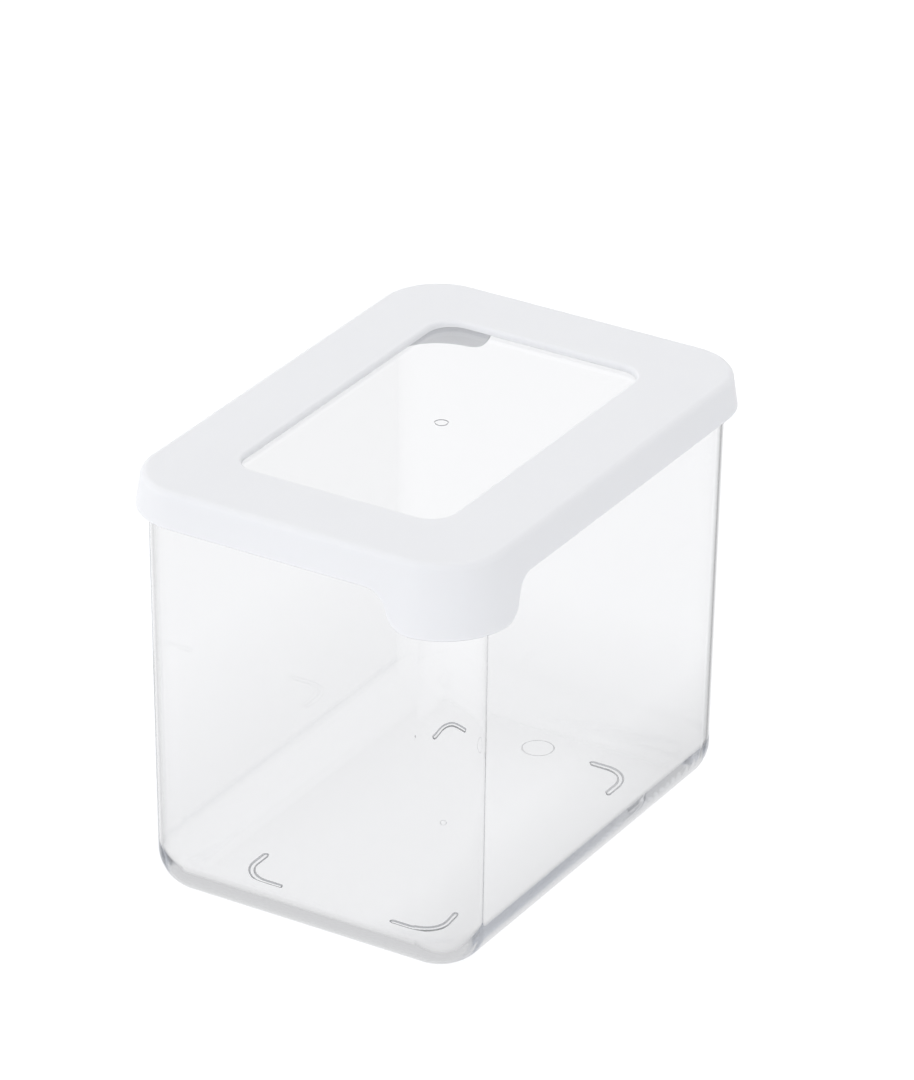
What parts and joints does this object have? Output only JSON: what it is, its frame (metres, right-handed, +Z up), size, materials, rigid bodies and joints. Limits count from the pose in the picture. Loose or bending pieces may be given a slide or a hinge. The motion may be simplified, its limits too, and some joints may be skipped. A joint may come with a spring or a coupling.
{
  "type": "food storage container",
  "caption": "Tall clear rectangular food storage box with rounded corners, under a white lift-off lid with a clear window and corner pull tabs.",
  "frame": {"origin": "on the surface that the container stands on, under the middle of the base", "axes": "+X across the short side, +Y along the long side, +Z up; the pull tabs are at the +X, -Y and -X, +Y corners"},
  "size_m": [0.1396, 0.1938, 0.1547],
  "materials": {
    "clear_plastic": "clear, polished moulded plastic",
    "white_plastic": "white, fine satin moulded plastic",
    "window_plastic": "clear, polished moulded plastic"
  },
  "bodies": {
    "tub": {"tub": "clear_plastic"},
    "lid": {"lid_frame": "white_plastic", "lid_window": "window_plastic"}
  },
  "joints": [
    {"name": "lid_lift", "type": "slide", "parent": "tub", "child": "lid", "axis": [0, 0, 1], "range_m": [0, 0.06]}
  ]
}
